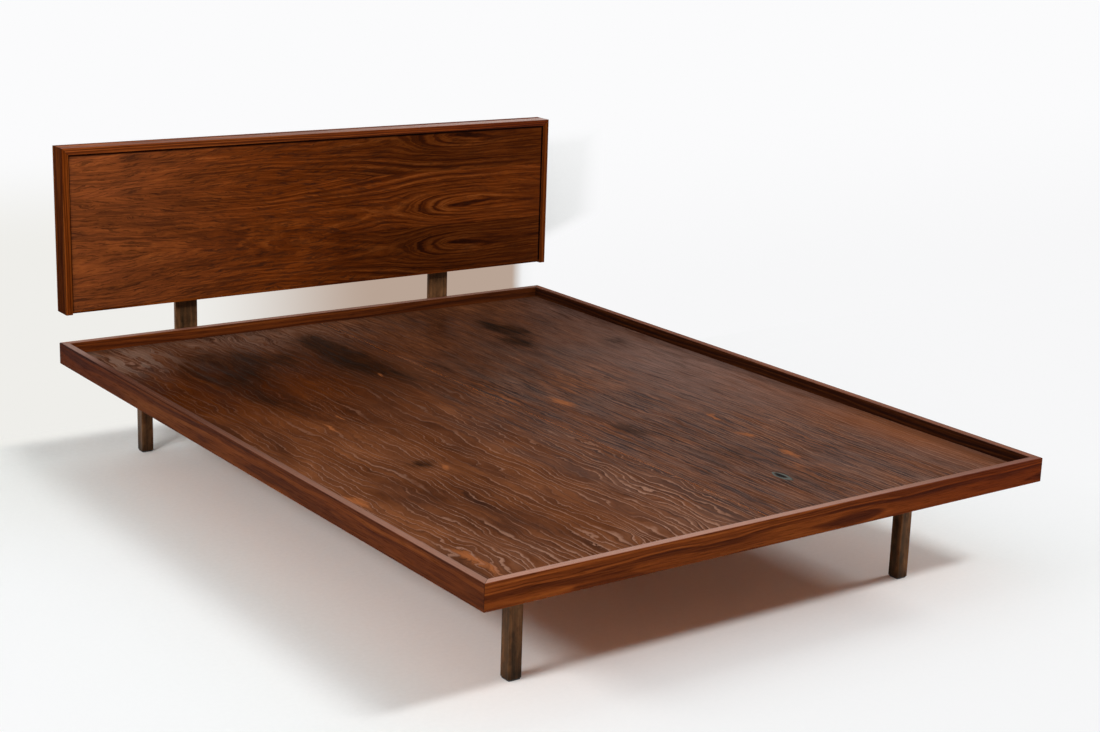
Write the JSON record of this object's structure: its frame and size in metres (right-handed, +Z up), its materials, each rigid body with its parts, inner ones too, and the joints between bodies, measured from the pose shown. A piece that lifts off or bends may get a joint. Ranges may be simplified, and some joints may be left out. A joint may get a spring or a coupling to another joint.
{
  "type": "platform bed",
  "caption": "Low platform bed: mitred timber rails round a plywood deck on a recessed base with square steel legs, and a framed veneer headboard on flat steel posts.",
  "frame": {"origin": "on the floor, below the middle of the whole bed's box", "axes": "+Y from the foot end to the headboard, +Z up, +X to the right of someone at the foot end who faces the headboard"},
  "size_m": [1.572, 2.1, 0.859],
  "materials": {
    "walnut": "oiled satin",
    "walnut_veneer": "oiled satin",
    "stained_plywood": "dark stain, satin",
    "patch_wood": "dark stain, satin",
    "poplar": "sanded",
    "pine": "planed",
    "panel_core": "sanded and oiled",
    "patinated_steel": "brown patina, waxed",
    "zinc_steel": "zinc plated",
    "black_steel": "black oxide",
    "black_plastic": "matte"
  },
  "bodies": {
    "root": {"left_rail": "walnut", "right_rail": "walnut", "foot_rail": "walnut", "head_rail": "walnut", "rail_splines": "poplar", "left_deck_sheet": "stained_plywood", "right_deck_sheet": "stained_plywood", "deck_patch": "patch_wood", "left_cleat": "poplar", "right_cleat": "poplar", "foot_cleat": "poplar", "head_cleats": "poplar", "cleat_rail_screws": "zinc_steel", "cleat_deck_screws": "zinc_steel", "foot_bearer": "pine", "head_bearer": "pine", "left_bearer": "pine", "right_bearer": "pine", "centre_bearer": "pine", "foot_left_noggin": "pine", "foot_right_noggin": "pine", "head_left_noggin": "pine", "head_right_noggin": "pine", "corner_blocks": "pine", "frame_screws": "zinc_steel", "deck_brackets": "zinc_steel", "bracket_screws": "zinc_steel", "foot_left_leg": "patinated_steel", "foot_right_leg": "patinated_steel", "head_left_leg": "patinated_steel", "head_right_leg": "patinated_steel", "foot_left_leg_plate": "patinated_steel", "foot_right_leg_plate": "patinated_steel", "head_left_leg_plate": "patinated_steel", "head_right_leg_plate": "patinated_steel", "foot_left_glide": "black_plastic", "foot_right_glide": "black_plastic", "head_left_glide": "black_plastic", "head_right_glide": "black_plastic", "leg_screws": "black_steel", "headboard_top_board": "walnut", "headboard_left_board": "walnut", "headboard_right_board": "walnut", "headboard_splines": "poplar", "panel_core": "panel_core", "lower_veneer_leaf": "walnut_veneer", "middle_veneer_leaf": "walnut_veneer", "upper_veneer_leaf": "walnut_veneer", "panel_lipping": "walnut", "upper_batten": "walnut", "lower_batten": "walnut", "batten_screws": "black_steel", "left_post": "patinated_steel", "right_post": "patinated_steel", "post_spacers": "poplar", "post_screws": "black_steel", "post_bolts": "black_steel", "post_washers": "black_steel", "post_nuts": "black_steel"}
  },
  "joints": []
}
